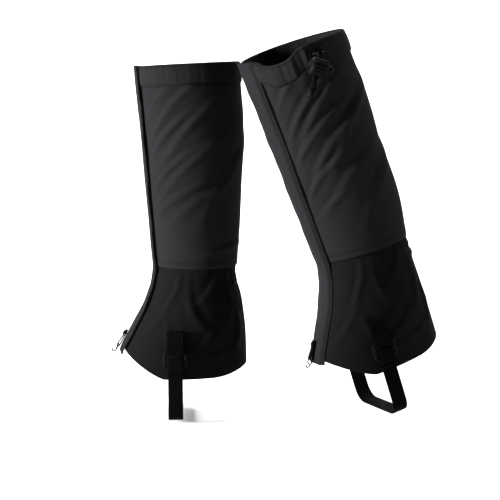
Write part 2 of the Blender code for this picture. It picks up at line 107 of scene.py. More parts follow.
def level_at(height):
    """An edge at one height all the way round."""
    return lambda angle: height + 0.0 * angle


def bag(angle, height, side):
    """Slack at the calf of the leaning leg: a long bell up the leg, strongest at the back."""
    if not side["roll"]:
        return 0.0 * (angle + height)
    return 0.0110 * np.exp(-((height - 0.245) / 0.080) ** 2) * ((1 - np.cos(np.radians(angle))) / 2) ** 1.5


# Each fold: angle and height of its middle, half length, half width, slant and depth, in degrees and mm.
FOLDS = {
    "left": [(-48, 430, 38, 4.2, 44, 1.75), (-68, 424, 50, 4.4, 47, 2.25), (-57, 386, 55, 4.5, 45, 2.5),
             (-86, 398, 55, 5.2, 48, 2.25), (-60, 342, 52, 4.4, 40, 2.5), (-86, 350, 55, 5.5, 42, 1.875),
             (-62, 300, 45, 4.4, 33, 1.75), (-92, 298, 50, 6, 34, 1.5), (-132, 330, 60, 8, 50, 1.75),
             (-140, 235, 40, 5, 8, 1.625), (120, 330, 70, 8, 45, 2.75), (80, 280, 60, 7, 35, 2.5)],
    "right": [(44, 428, 36, 4.2, 46, 1.75), (58, 404, 56, 4.4, 44, 2.625), (76, 404, 60, 5, 46, 2.5),
              (52, 362, 50, 4.4, 41, 2.5), (78, 356, 65, 5.2, 43, 2.625), (102, 372, 60, 6, 48, 2.25),
              (54, 318, 48, 4.4, 36, 2.125), (84, 308, 55, 5.8, 38, 1.625), (54, 280, 34, 4.4, 28, 1.375),
              (128, 300, 60, 8, 45, 1.75), (-90, 340, 70, 8, 50, 2.75), (-110, 270, 60, 8, 40, 2.25)],
}


def ridge(around, height, fold, bow, valley, apart):
    """One fold: a bell along it times a bell across it, less a shallower bell some widths to one side. It is
    bowed by the square of the distance along it."""
    middle, slant = abs(fold[0]), np.radians(fold[4])
    level, long, wide, deep = (fold[k] / 1000 for k in (1, 2, 3, 5))
    across = np.radians(np.abs(around) - middle) * LEG_RADIUS
    rise = height - level
    along = across * np.cos(slant) + rise * np.sin(slant)
    off = -across * np.sin(slant) + rise * np.cos(slant) + bow * along ** 2
    bells = np.exp(-(off / wide) ** 2) - valley * np.exp(-((off - apart * wide) / wide) ** 2)
    return deep * np.exp(-(along / long) ** 2) * bells


def upper_out(side):
    """Distance from the leg: slanting folds, gathers under the lock, slow waves, a groove beside the flap."""
    def out(angle, height):
        around = half_turn(angle)
        lift = sum((np.sign(around) == np.sign(fold[0])) * ridge(around, height, fold, 1.6, 0.7, 1.6)
                   for fold in FOLDS[side["name"]])
        pleat = np.exp(-((around - 76.0) / 26.0) ** 2) * np.exp(-np.clip(RIM_FRONT - height, 0, 1) / 0.045)
        lift = lift + 0.0012 * pleat * np.sin(np.radians(around * 17.0))
        wave = np.sin(np.radians(around * 2.0 + 40.0) + height * 31.0) * np.sin(height * 23.0 + 1.0)
        calm = np.clip((np.abs(around) - 16.0) / 22.0, 0, 1)
        groove = 0.0014 * np.exp(-((around - FLAP_SEWN - 1.6) / 1.1) ** 2)
        return (lift + 0.0011 * wave) * calm - groove + bag(angle, height, side)
    return out


def grid_faces(rows, cols, start=0, close_cols=False, close_rows=False):
    """Quads of a grid of points numbered row by row."""
    r = np.arange(rows if close_rows else rows - 1)[:, None]
    c = np.arange(cols if close_cols else cols - 1)[None, :]
    a, b = r * cols + c, r * cols + (c + 1) % cols
    d, e = (r + 1) % rows * cols + c, (r + 1) % rows * cols + (c + 1) % cols
    return (np.stack([a, b, e, d], axis=-1).reshape(-1, 4) + start).tolist()


def put_mesh(name, side, points, faces, uv=None):
    """Places the points on their leg, turns all faces outwards by the sign of the volume, makes the piece."""
    spots = points.reshape(-1, 3) @ side["pose"][:3, :3].T + side["pose"][:3, 3]
    fans = [(f[0], f[k], f[k + 1]) for f in faces for k in range(1, len(f) - 1)]
    a, b, c = (spots[np.array(fans)[:, k]] for k in range(3))
    if np.einsum("ij,ij->i", a, np.cross(b, c)).sum() < 0:
        faces = [f[::-1] for f in faces]
    mesh = bpy.data.meshes.new(name)
    mesh.from_pydata(spots.tolist(), [], faces)
    if uv is not None:
        corner = np.empty(len(mesh.loops), np.int32)
        mesh.loops.foreach_get("vertex_index", corner)
        spread = uv.reshape(-1, 2)[corner].astype(np.float32).ravel()
        mesh.uv_layers.new(name="cloth").data.foreach_set("uv", spread)
    mesh.polygons.foreach_set("use_smooth", np.ones(len(mesh.polygons), bool))
    mesh.update()
    piece = bpy.data.objects.new(name, mesh)
    bpy.context.scene.collection.objects.link(piece)
    return piece


def sheet(name, side, span, low, high, out, thick, cols, rows):
    """Cloth of even thickness between two angles and two edges; out gives its distance from the leg's wall.

    The section is carried round as a closed loop: up the outside, over the edge and down the inside."""
    angle = np.linspace(span[0], span[1], cols)[None, :]
    up = np.linspace(0, 1, rows)[:, None]
    height = low(angle) * (1 - up) + high(angle) * up
    away = out(angle + 0.0 * up, height)
    outer = leg(angle, height, away + thick / 2, side)
    inner = leg(angle, height, away - thick / 2, side)
    points = np.concatenate([outer, inner[::-1]])
    faces = grid_faces(2 * rows, cols, close_rows=True)
    for col in (0, cols - 1):
        faces += [(r * cols + col, (r + 1) * cols + col, (2 * rows - 2 - r) * cols + col,
                   (2 * rows - 1 - r) * cols + col) for r in range(rows - 1)]
    around = np.broadcast_to(np.radians(angle) * LEG_RADIUS, height.shape)
    uv = np.stack([np.concatenate([around, around]), np.concatenate([height, height[::-1]])], axis=-1)
    return put_mesh(name, side, points, faces, uv)


def colour(code):
    """sRGB hex to linear."""
    parts = [int(code[k:k + 2], 16) / 255 for k in (1, 3, 5)]
    return (*[p / 12.92 if p <= 0.04045 else ((p + 0.055) / 1.055) ** 2.4 for p in parts], 1.0)


def add_node(tree, kind, inputs=None, **settings):
    """Adds a node with its settings; an input given as a socket is linked, any other is a value."""
    new = tree.nodes.new(kind)
    for key, value in settings.items():
        setattr(new, key, value)
    for key, value in (inputs or {}).items():
        if isinstance(value, bpy.types.NodeSocket):
            tree.links.new(value, new.inputs[key])
        else:
            new.inputs[key].default_value = value
    return new


def start_material(name, **values):
    """A material whose Principled shader has the given values."""
    mat = bpy.data.materials.new(name)
    mat.use_nodes = True
    shader = mat.node_tree.nodes["Principled BSDF"]
    for key, value in values.items():
        shader.inputs[key.replace("_", " ")].default_value = value
    return mat, mat.node_tree, shader


def woven(name, dark, light, thread, relief, blotch=9.0, grid=None):
    """Plain weave on the cloth's map: two crossed sets of ridges one thread apart, with slow shade changes."""
    mat, tree, shader = start_material(name, Roughness=0.85, Specular_IOR_Level=0.03)
    place = add_node(tree, "ShaderNodeTexCoord")
    warp, weft = (add_node(tree, "ShaderNodeTexWave", {"Vector": place.outputs["UV"], "Scale": WAVE / thread,
                                                        "Distortion": 0.6, "Detail": 1.0},
                           wave_type="BANDS", bands_direction=way) for way in ("X", "Y"))
    cross = add_node(tree, "ShaderNodeMath", {0: warp.outputs["Fac"], 1: weft.outputs["Fac"]},
                     operation="MULTIPLY")
    slow, fine = (add_node(tree, "ShaderNodeTexNoise", {"Vector": place.outputs["Object"], "Scale": size,
                                                         "Detail": detail})
                  for size, detail in ((blotch, 5.0), (900.0, 2.0)))
    blend = add_node(tree, "ShaderNodeMath", {0: slow.outputs["Fac"], 1: fine.outputs["Fac"]},
                     operation="MULTIPLY")
    mix = add_node(tree, "ShaderNodeMath", {0: blend.outputs[0], 1: 1.4, 2: 0.1}, operation="MULTIPLY_ADD")
    ramp = add_node(tree, "ShaderNodeMixRGB", {"Fac": mix.outputs[0], "Color1": colour(dark),
                                               "Color2": colour(light)})
    tree.links.new(ramp.outputs[0], shader.inputs["Base Color"])
    height = cross.outputs[0]
    if grid:
        bars = [add_node(tree, "ShaderNodeTexWave", {"Vector": place.outputs["UV"], "Scale": WAVE / grid},
                         wave_type="BANDS", bands_direction=way, wave_profile="SIN") for way in ("X", "Y")]
        top = add_node(tree, "ShaderNodeMath", {0: bars[0].outputs["Fac"], 1: bars[1].outputs["Fac"]},
                       operation="MAXIMUM")
        narrow = add_node(tree, "ShaderNodeMath", {0: top.outputs[0], 1: 24.0}, operation="POWER")
        both = add_node(tree, "ShaderNodeMath", {0: narrow.outputs[0], 1: cross.outputs[0]}, operation="ADD")
        height = both.outputs[0]
    bump = add_node(tree, "ShaderNodeBump", {"Height": height, "Strength": relief, "Distance": thread / 2})
    tree.links.new(bump.outputs[0], shader.inputs["Normal"])
    return mat


# Woven polyamide, matt, so that it catches light softly. Its threads, 0.6 mm apart, are drawn 0.9 mm apart,
# or they would not show at all.
oxford = woven("matt_oxford_polyamide", "#111112", "#19191b", 0.0009, 0.35)


def finish(piece, mat, body, slot, *nodes):
    """Gives a piece its material, its body unless it blends, and hides the solids that it stands for. The slot
    is not used.
    """
    piece.data.materials.append(mat)
    if body:
        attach(piece, body)
    if nodes:
        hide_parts(*nodes)
    return piece


for name, side in PAIR.items():
    panel = sheet(f"{name}_upper_cloth", side, WHOLE, level_at(SEAM),
                  lambda a: rim(a, side) - CASING_TALL + 0.0004, upper_out(side), 0.0012, 260, 130)
    finish(panel, oxford, f"{name}_gaiter", "oxford_nylon", f"{name}_upper_panel")

# ---------------------------------------------------------------------------------------------
# Lower panels. Thinner coated ripstop that flares over the boot. It crumples in short soft
# creases, gathers at the heel over the ankle elastic, and has a wide turned-up hem.
# ---------------------------------------------------------------------------------------------
LAP, HEM_TURNED = 0.014, 0.014
CREASES = [(62, 175, 30, 5, 70, 1.6), (88, 150, 34, 5.5, -62, 1.8), (112, 185, 30, 5, 60, 1.8),
           (135, 150, 36, 6, 78, 2), (75, 110, 26, 4.5, -50, 1.5), (105, 108, 28, 4.5, 48, 1.6),
           (150, 120, 36, 6, 85, 1.8), (48, 130, 30, 5, 60, 1.4), (160, 185, 20, 4, 10, 1.8),
           (125, 90, 20, 4, 20, 1.2)]

# The same polyamide with a thin coat: darker, and crossed by thicker threads every 6 mm.
ripstop = woven("coated_ripstop_polyamide", "#080708", "#0c0b0d", 0.0007, 0.30, 14.0, 0.006)


def hem(angle):
    """Bottom edge: high over the laces, low at the sides and a little up again at the heel."""
    forward = np.cos(np.radians(angle))
    instep = np.clip((forward - 0.25) / 0.75, 0, 1)
    heel = np.clip((-forward - 0.45) / 0.55, 0, 1)
    return 0.058 + 0.036 * instep ** 1.2 + 0.012 * heel ** 2


def lower_out(side):
    """Distance from the leg: short creases on both sides, gathers and a pinch at the heel, a tuck at the lap."""
    def out(angle, height):
        around = half_turn(angle)
        lift = sum(ridge(around, height, crease, -6.0, 0.5, 1.7) for crease in CREASES)
        heel = np.exp(-((np.abs(around) - 180.0) / 55.0) ** 2)
        pinch = 0.0 if side["roll"] else 0.0040 * np.exp(-((height - 0.192) / 0.016) ** 2) * heel
        gather = 0.0009 * np.exp(-((height - 0.205) / 0.030) ** 2) * np.sin(np.radians(around * 23.0)) * heel
        lift = (lift + gather - pinch) * np.clip((np.abs(around) - 16.0) / 20.0, 0, 1)
        tuck = 0.0016 * np.clip((height - SEAM + 0.012) / 0.010, 0, 1)
        return lift * np.clip((0.200 - height) / 0.010 + 1.0, 0.35, 1) - tuck + bag(angle, height, side)
    return out


for name, side in PAIR.items():
    body, out = f"{name}_gaiter", lower_out(side)
    panel = sheet(f"{name}_lower_cloth", side, WHOLE, hem, level_at(SEAM + LAP), out, 0.0009, 260, 110)
    finish(panel, ripstop, body, "ripstop_nylon", f"{name}_lower_panel")
    facing = sheet(f"{name}_hem_turning", side, WHOLE, lambda a: hem(a) + 0.0003, lambda a: hem(a) + HEM_TURNED,
                   lambda a, h: out(a, h) - 0.0012, 0.0008, 180, 8)
    finish(facing, ripstop, body, "ripstop_nylon", f"{name}_hem_facing")

# ---------------------------------------------------------------------------------------------
# Thread. Every seam is a row of lockstitches of bonded polyester, pulled a little into the cloth.
# The upper panel is sewn down over the lower one by two rows at the ankle, and the hem by one.
# ---------------------------------------------------------------------------------------------
STITCH, STITCH_THICK = 0.0030, 0.00042
thread, tree, shader = start_material("bonded_polyester_thread", Roughness=0.7, Base_Color=colour("#050506"),
                                       Specular_IOR_Level=0.05)
grain = add_node(tree, "ShaderNodeTexNoise", {"Scale": 1500.0})
twist = add_node(tree, "ShaderNodeBump", {"Height": grain.outputs["Fac"], "Strength": 0.4, "Distance": 0.0002})
tree.links.new(twist.outputs[0], shader.inputs["Normal"])


def run_along(path):
    """Distance along a path at each of its points."""
    return np.concatenate([[0], np.cumsum(np.linalg.norm(np.diff(path, axis=0), axis=1))])


def unit(rows):
    """Each row shortened or stretched to length one."""
    return rows / np.linalg.norm(rows, axis=1, keepdims=True)


def end_caps(rows, cols, start=0):
    """The two flat ends of a grid of points whose columns close into a tube."""
    last = start + (rows - 1) * cols
    return [tuple(range(start, start + cols))[::-1], tuple(range(last, last + cols))]


def seam(name, side, path, away, body, pitch=STITCH):
    """Stitches along a path of points: each is a spindle with six sides and four rings, longer than wide."""
    run = run_along(path)
    count = max(int(run[-1] / pitch), 1)
    middle = (np.arange(count) + 0.5) * run[-1] / count
    spot, before, after, lift = (np.stack([np.interp(m, run, data[:, k]) for k in range(3)], axis=-1)
                                 for m, data in ((middle, path), (middle - pitch * 0.37, path),
                                                 (middle + pitch * 0.37, path), (middle, away)))
    along, lift = after - before, unit(lift)
    cross = unit(np.cross(along, lift))
    rings = np.array([(-0.5, 0.35), (-0.25, 1.0), (0.25, 1.0), (0.5, 0.35)])
    spin = np.linspace(0, 2 * np.pi, 6, endpoint=False)
    ring = cross[:, None] * np.cos(spin)[None, :, None] + lift[:, None] * 0.8 * np.sin(spin)[None, :, None]
    ring = ring * STITCH_THICK
    points = (spot[:, None, None] + along[:, None, None] * rings[None, :, 0, None, None]
              + ring[:, None] * rings[None, :, 1, None, None])
    faces = []
    for first in range(0, count * 24, 24):
        faces += grid_faces(4, 6, first, close_cols=True) + end_caps(4, 6, first)
    piece = put_mesh(name, side, points.reshape(-1, 3), faces)
    return finish(piece, thread, body, "oxford_nylon")


def seam_round(name, side, height, out, count=160):
    """A seam round the leg at a height that may change with the angle."""
    angle = np.linspace(*WHOLE, count)
    level = height(angle)
    away = out(angle, level)
    path = leg(angle, level, away, side)
    return seam(name, side, path, leg(angle, level, away + 0.001, side) - path, f"{side['name']}_gaiter")


for name, side in PAIR.items():
    for drop, which in ((0.0065, "upper"), (0.0085, "lower")):
        seam_round(f"{name}_seam_ankle_{which}", side, level_at(SEAM + drop),
                   lambda a, h: upper_out(side)(a, h) + 0.0006)
    seam_round(f"{name}_seam_hem", side, lambda a: hem(a) + 0.011,
               lambda a, h: lower_out(side)(a, h) + 0.0005)

# ---------------------------------------------------------------------------------------------
# Ankle elastic. A flat knitted band, sewn inside the heel half of the ankle while it is
# stretched, so that it gathers the cloth.
# ---------------------------------------------------------------------------------------------
elastic = woven("knitted_elastic", "#0e0e0f", "#181819", 0.0012, 0.6)

for name, side in PAIR.items():
    low, high = level_at(SEAM + 0.002), level_at(SEAM + LAP - 0.002)
    inside = sheet(f"{name}_elastic_band", side, (95.0, 265.0), low, high,
                   lambda a, h: bag(a, h, side) - 0.0036 + 0.0004 * np.sin(np.radians(a * 23.0)), 0.0012, 120, 8)
    finish(inside, elastic, f"{name}_gaiter", "elastic", f"{name}_ankle_elastic")

# ---------------------------------------------------------------------------------------------
# Front closure. A flap of the upper cloth is sewn along the outside of the shin and covers the slit.
# Hook tape inside the flap grips loop tape on the edge beneath. Both tapes are black and furry.
# ---------------------------------------------------------------------------------------------
FLAP_FREE, FLAP_SPLIT = -21.0, 0.228
FLAP_LOW, TAPE_OUT, HOOKS_OUT, FLAP_OUT = 0.0012, 0.0016, 0.0028, 0.0041
LOOP_SPAN = (-20.5, 3.0)


def furry(name, dark, light, size):
    """Fastener tape: a dense fine pile, drawn as noise on its bump and its colour, with painted shade where the
    pile is low.
    """
    mat, tree, shader = start_material(name, Roughness=0.95, Specular_IOR_Level=0.1)
    place = add_node(tree, "ShaderNodeTexCoord")
    pile = add_node(tree, "ShaderNodeTexVoronoi", {"Vector": place.outputs["Object"], "Scale": 1.0 / size})
    # Painted shade: the pile is coloured darker where its bump sinks between the tufts, and lighter on the
    # tufts.
    ramp = add_node(tree, "ShaderNodeMixRGB", {"Fac": pile.outputs["Distance"], "Color1": colour(light),
                                               "Color2": colour(dark)})
    bump = add_node(tree, "ShaderNodeBump", {"Height": pile.outputs["Distance"], "Strength": 0.8,
                                             "Distance": size / 2}, invert=True)
    tree.links.new(ramp.outputs[0], shader.inputs["Base Color"])
    tree.links.new(bump.outputs[0], shader.inputs["Normal"])
    return mat


loop_pile = furry("loop_fastener_tape", "#060606", "#121212", 0.0009)
hook_pile = furry("hook_fastener_tape", "#080808", "#161616", 0.0013)


def flap_out(angle, height):
    """The flap lies on the cloth at its sewn edge, climbs over the tapes and lifts a little where it is free."""
    climb = np.clip((FLAP_SEWN - angle) / 7.0, 0, 1)
    climb = climb * climb * (3 - 2 * climb)
    loose = np.clip((-angle - 13.0) / 8.0, 0, 1)
    wave = 0.0005 * np.sin(height * 88.0) + 0.0003 * np.sin(height * 203.0 + 1.0)
    wave = loose * (0.0004 + wave) + 0.0002 * np.sin(height * 60.0 + angle * 0.1)
    return FLAP_LOW + (FLAP_OUT - FLAP_LOW) * climb + wave


def seam_up(name, side, angle, low, high, out, count=140):
    """A seam up the leg at one angle, left without a body so that it can blend with its flap."""
    level = np.linspace(low, high, count)
    turn = np.full(count, angle)
    away = out(turn, level)
    path = leg(turn, level, away, side)
    return seam(name, side, path, leg(turn, level, away + 0.001, side) - path, None)


for name, side in PAIR.items():
    gaiter, flap_body = f"{name}_gaiter", f"{name}_flap"
    loop = sheet(f"{name}_loop_strip", side, LOOP_SPAN[::-1], lambda a: hem(a) + 0.003,
                 lambda a: rim(a, side) - CASING_TALL - 0.003, lambda a, h: TAPE_OUT + 0.0 * a, 0.0011, 24, 120)
    finish(loop, loop_pile, gaiter, "fastener_tape", f"{name}_loop_tape")
    flap = sheet(f"{name}_flap_cloth", side, (FLAP_SEWN, FLAP_FREE), lambda a: hem(a) - 0.004,
                 lambda a: rim(a, side) + 0.001, flap_out, 0.0013, 40, 260)
    hooks = sheet(f"{name}_hook_strip", side, (LOOP_SPAN[1], LOOP_SPAN[0] + 1.5), lambda a: hem(a) + 0.004,
                  lambda a: rim(a, side) - CASING_TALL - 0.004, lambda a, h: HOOKS_OUT + 0.0 * a,
                  0.0009, 24, 200)
    finish(flap, oxford, None, "oxford_nylon", f"{name}_front_flap", f"{name}_flap_foot")
    finish(hooks, hook_pile, None, "fastener_tape", f"{name}_hook_tape")
    pieces = [flap, hooks]
    for angle, which in ((FLAP_SEWN - 1.3, "edge"), (FLAP_SEWN - 3.6, "inner"), (FLAP_FREE + 2.5, "free")):
        pieces.append(seam_up(f"{name}_seam_flap_{which}", side, angle, float(hem(angle)) + 0.004,
                              float(rim(angle, side)) - 0.003, lambda a, h: flap_out(a, h) + 0.00065))
    ends = [side["pose"] @ np.array([*leg(FLAP_SEWN, level, FLAP_OUT, side), 1.0])
            for level in (FLAP_SPLIT + 0.002, FLAP_SPLIT + 0.105)]
    for piece in pieces:
        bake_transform(piece)

# ---------------------------------------------------------------------------------------------
# Top casing. The upper edge is folded over and sewn down to make a tunnel for the drawcord. Near
# the cord lock the pull of the cord puckers it into short upright gathers.
# ---------------------------------------------------------------------------------------------
def casing_puff(around, up, outside):
    """Fullness of the tunnel: round between its seams, rippled where it is gathered."""
    round_part = np.sin(np.pi * np.clip(up, 0, 1)) ** 0.6
    pucker = np.exp(-((around - 74.0) / 22.0) ** 2) + 0.25
    ripple = pucker * (0.0009 * np.sin(np.radians(around * 19.0)) + 0.0004 * np.sin(np.radians(around * 47.0)))
    return outside * (0.0006 + 0.0019 * round_part) + ripple * (0.4 + 0.6 * round_part)


for name, side in PAIR.items():
    body = f"{name}_gaiter"
    cols, steps, wall = 300, 14, 0.0007
    angle = np.linspace(*WHOLE, cols)[None, :]
    around = half_turn(angle)
    up = np.linspace(0, 1, steps)[:, None]
    shells = []
    for inset in (0.0, wall):
        level = rim(angle, side) - CASING_TALL + inset + (CASING_TALL - 2 * inset) * up
        outer = leg(angle, level, casing_puff(around, up, 1.0) - inset, side)
        inner = leg(angle, level, casing_puff(around, up, -1.0) + inset, side)
        shells.append(np.concatenate([outer, inner[::-1]]))
    rows = 2 * steps
    faces = grid_faces(rows, cols, close_rows=True)
    faces += [f[::-1] for f in grid_faces(rows, cols, rows * cols, close_rows=True)]
    for col, turn in ((0, 1), (cols - 1, -1)):
        for r in range(rows):
            here, after = r * cols + col, (r + 1) % rows * cols + col
            faces.append((here, after, after + rows * cols, here + rows * cols)[::turn])
    flat = np.broadcast_to(np.radians(angle) * LEG_RADIUS, (rows, cols))
    tall = np.broadcast_to(np.linspace(0, 2 * CASING_TALL, rows)[:, None], (rows, cols))
    uv = np.concatenate([np.stack([flat, tall], axis=-1)] * 2)
    casing = put_mesh(f"{name}_casing_cloth", side, np.concatenate(shells), faces, uv)
    finish(casing, oxford, body, "oxford_nylon", f"{name}_top_casing")
    for drop, share in ((CASING_TALL - 0.0025, 0.09), (0.0030, 0.89)):
        seam_round(f"{name}_seam_casing_{'low' if share < 0.5 else 'rim'}", side, lambda a: rim(a, side) - drop,
                   lambda a, h: casing_puff(half_turn(a), share, 1.0) + 0.0002, count=400)

# ---------------------------------------------------------------------------------------------
# Drawcord. A round braided cord of 3 mm runs in the tunnel. Its two ends leave through metal
# eyelets, run side by side through the spring lock, hang nearly plumb and end together in a
# moulded cord end.
# ---------------------------------------------------------------------------------------------
CORD, STRAND_APART = 0.003, 0.0042
LOCK_AT = (0.013, 0.0775, 0.446)
LOCK_RADIUS, LOCK_LONG = 0.0115, 0.021
CORD_END_DROP, CORD_END_LONG = 0.032, 0.010
EYELET_LEVEL = RIM_FRONT + 0.004 - 0.0125

braid, tree, shader = start_material("braided_polyester_cord", Roughness=0.8, Specular_IOR_Level=0.05)
place = add_node(tree, "ShaderNodeTexCoord")
slants = [add_node(tree, "ShaderNodeMapping", {"Vector": place.outputs["UV"], "Rotation": (0, 0, turn)})
          for turn in (0.7, -0.7)]
ways = [add_node(tree, "ShaderNodeTexWave", {"Vector": slant.outputs[0], "Scale": WAVE / 0.0011},
                 wave_type="BANDS") for slant in slants]
top = add_node(tree, "ShaderNodeMath", {0: ways[0].outputs["Fac"], 1: ways[1].outputs["Fac"]},
               operation="MAXIMUM")
# Painted shade: the braid is coloured darker in the grooves between its strands, where its bump is low.
ramp = add_node(tree, "ShaderNodeMixRGB", {"Fac": top.outputs[0], "Color1": colour("#030303"),
                                           "Color2": colour("#080809")})
bump = add_node(tree, "ShaderNodeBump", {"Height": top.outputs[0], "Strength": 0.8, "Distance": 0.0003})
tree.links.new(ramp.outputs[0], shader.inputs["Base Color"])
tree.links.new(bump.outputs[0], shader.inputs["Normal"])

# Eyelets, rivets, spring and lace hook are steel with a black oxide finish: dark, with a soft shine on edges.
steel, tree, shader = start_material("black_oxide_steel", Metallic=1.0, Base_Color=colour("#090909"))
wear = add_node(tree, "ShaderNodeTexNoise", {"Scale": 420.0, "Detail": 4.0})
rough = add_node(tree, "ShaderNodeMapRange", {"Value": wear.outputs["Fac"], "To Min": 0.42, "To Max": 0.62})
tree.links.new(rough.outputs[0], shader.inputs["Roughness"])

# Lock, cord end and buckles are moulded acetal: satin black, with the faint orange peel of its mould.
acetal, tree, shader = start_material("moulded_acetal", Base_Color=colour("#040405"), Specular_IOR_Level=0.05)
peel = add_node(tree, "ShaderNodeTexNoise", {"Scale": 620.0, "Detail": 3.0})
skin = add_node(tree, "ShaderNodeBump", {"Height": peel.outputs["Fac"], "Strength": 0.12, "Distance": 0.0002})
gloss = add_node(tree, "ShaderNodeMapRange", {"Value": peel.outputs["Fac"], "To Min": 0.46, "To Max": 0.60})
tree.links.new(skin.outputs[0], shader.inputs["Normal"])
tree.links.new(gloss.outputs[0], shader.inputs["Roughness"])


def tube(name, side, path, radius, sides=16, closed=False):
    """A round section carried along a path without twist; its ends narrow a little and are capped flat."""
    path = np.asarray(path, float)
    ahead = np.roll(path, -1, axis=0) - np.roll(path, 1, axis=0) if closed else np.gradient(path, axis=0)
    ahead = unit(ahead)
    side_way = [np.cross(ahead[0], (0.31, 0.77, 0.56))]
    for k in range(1, len(path)):
        last = side_way[-1]
        side_way.append(last - ahead[k] * np.dot(last, ahead[k]))
    side_way = unit(np.array(side_way))
    other = np.cross(ahead, side_way)
    size = np.full(len(path), radius)
    if not closed:
        path = np.concatenate([path[:1], path, path[-1:]])
        side_way, other = (np.concatenate([w[:1], w, w[-1:]]) for w in (side_way, other))
        size = np.concatenate([[radius * 0.55], size, [radius * 0.55]])
        path[0] -= ahead[0] * radius * 0.25
        path[-1] += ahead[-1] * radius * 0.25
    spin = np.linspace(0, 2 * np.pi, sides, endpoint=False)
    points = path[:, None] + size[:, None, None] * (side_way[:, None] * np.cos(spin)[None, :, None]
                                                    + other[:, None] * np.sin(spin)[None, :, None])
    faces = grid_faces(len(path), sides, close_cols=True, close_rows=closed)
    if not closed:
        faces += end_caps(len(path), sides)
    uv = np.stack(np.broadcast_arrays((spin * radius)[None, :], run_along(path)[:, None]), axis=-1)
    return put_mesh(name, side, points, faces, uv)


def turned(name, side, profile, centre, axis, sides=40, ribs=0, rib_deep=0.0, ring=False):
    """A turned piece from (radius, distance) points; ribs are even waves round it, full on its widest part."""
    axis = np.array(axis, float) / np.linalg.norm(axis)
    first = np.cross(axis, (0.0, 0.0, 1.0) if abs(axis[2]) < 0.9 else (1.0, 0.0, 0.0))
    first /= np.linalg.norm(first)
    second = np.cross(axis, first)
    profile = np.array(profile, float)
    spin = np.linspace(0, 2 * np.pi, sides, endpoint=False)[None, :]
    share = np.clip((profile[:, :1] / profile[:, 0].max() - 0.80) / 0.18, 0, 1)
    radius = profile[:, :1] - rib_deep * share * (0.5 - 0.5 * np.cos(ribs * spin)) ** 2
    around = np.cos(spin)[..., None] * first + np.sin(spin)[..., None] * second
    points = np.array(centre) + radius[..., None] * around + profile[:, 1][:, None, None] * axis
    faces = grid_faces(len(profile), sides, close_cols=True, close_rows=ring)
    if not ring:
        faces += end_caps(len(profile), sides)
    return put_mesh(name, side, points, faces)


def rounded(profile, bend=4, share=0.35):
    """Cuts each inner corner of an open profile into a short even curve, a share of the shorter side long."""
    profile = [np.array(p, float) for p in profile]
    line = [profile[0]]
    for before, here, after in zip(profile, profile[1:], profile[2:]):
        reach = share * min(np.linalg.norm(here - before), np.linalg.norm(after - here))
        a = here + (before - here) / np.linalg.norm(before - here) * reach
        b = here + (after - here) / np.linalg.norm(after - here) * reach
        for t in np.linspace(0, 1, bend):
            line.append((1 - t) ** 2 * a + 2 * t * (1 - t) * here + t * t * b)
    return line + [profile[-1]]


def strand_route(start, out, top, down, length):
    """One strand: straight out of its eyelet, over in an even bend, then straight down."""
    bend = [start, start + out * 0.012, top - down * 0.008, top]
    t = np.linspace(0, 1, 13)[:, None]
    curve = ((1 - t) ** 3 * bend[0] + 3 * t * (1 - t) ** 2 * bend[1] + 3 * t ** 2 * (1 - t) * bend[2]
             + t ** 3 * bend[3])
    return np.concatenate([curve, top + down * length * np.linspace(0, 1, 13)[1:, None]])


def lock_place(side):
    """Middle of the cord lock, and its three ways: along the barrel, down the strands and out from the leg."""
    lean, lateral = math.radians(side["lean"]), side["lateral"]
    middle = np.array([LOCK_AT[0], lateral * LOCK_AT[1], LOCK_AT[2]])
    across = np.array([math.cos(lean), 0, -math.sin(lean)])
    down = np.array([-math.sin(lean), 0, -math.cos(lean)])
    return middle, across, down, np.array([0, lateral, 0])


for name, side in PAIR.items():
    body, lateral = f"{name}_gaiter", side["lateral"]
    lock, across, down, out = lock_place(side)
    above = lock[0] + (EYELET_LEVEL - lock[2]) * math.tan(math.radians(side["lean"]))
    straight = LOCK_RADIUS + CORD_END_DROP - CORD_END_LONG / 2 - 0.0006
    centre_line = [leg(a, float(rim(a, side)) - 0.0125, 0.0, side) for a in np.linspace(15, 362, 120)]
    hidden = tube(f"{name}_drawcord_in_tunnel", side, centre_line, CORD / 2 - 0.0004, 10)
    finish(hidden, braid, body, "braided_cord", f"{name}_drawcord")
    end_profile = [(0.0020, -0.0052), (0.0038, -0.0050), (0.0052, -0.0034), (0.0052, 0.0030), (0.0040, 0.0048),
                   (0.0034, 0.0050)]
    end = turned(f"{name}_moulded_cord_end", side, rounded(end_profile), lock + down * CORD_END_DROP, -down, 32)
    finish(end, acetal, body, "acetal", f"{name}_cord_end")
    for sign, which in ((-1, "front"), (1, "rear")):
        spot = np.array([above + sign * 0.0065, lateral * 0.0640, EYELET_LEVEL])
        flange = [(0.0018, -0.0024), (0.0018, 0.0012), (0.0023, 0.0019), (0.0034, 0.0020), (0.0045, 0.0013),
                  (0.0047, 0.0004), (0.0030, 0.0003), (0.0026, -0.0024)]
        ring = turned(f"{name}_eyelet_ring_{which}", side, flange, spot + out * 0.0004, out, 32, ring=True)
        finish(ring, steel, body, "blackened_steel", f"{name}_eyelet_{which}")
        top = lock + across * (sign * STRAND_APART / 2) - down * LOCK_RADIUS
        route = strand_route(spot - out * 0.0004, out, top, down, straight)
        strand = tube(f"{name}_cord_strand_{which}", side, route, CORD / 2)
        finish(strand, braid, body, "braided_cord", f"{name}_cord_tail_{which}")
        world = route @ side["pose"][:3, :3].T + side["pose"][:3, 3]

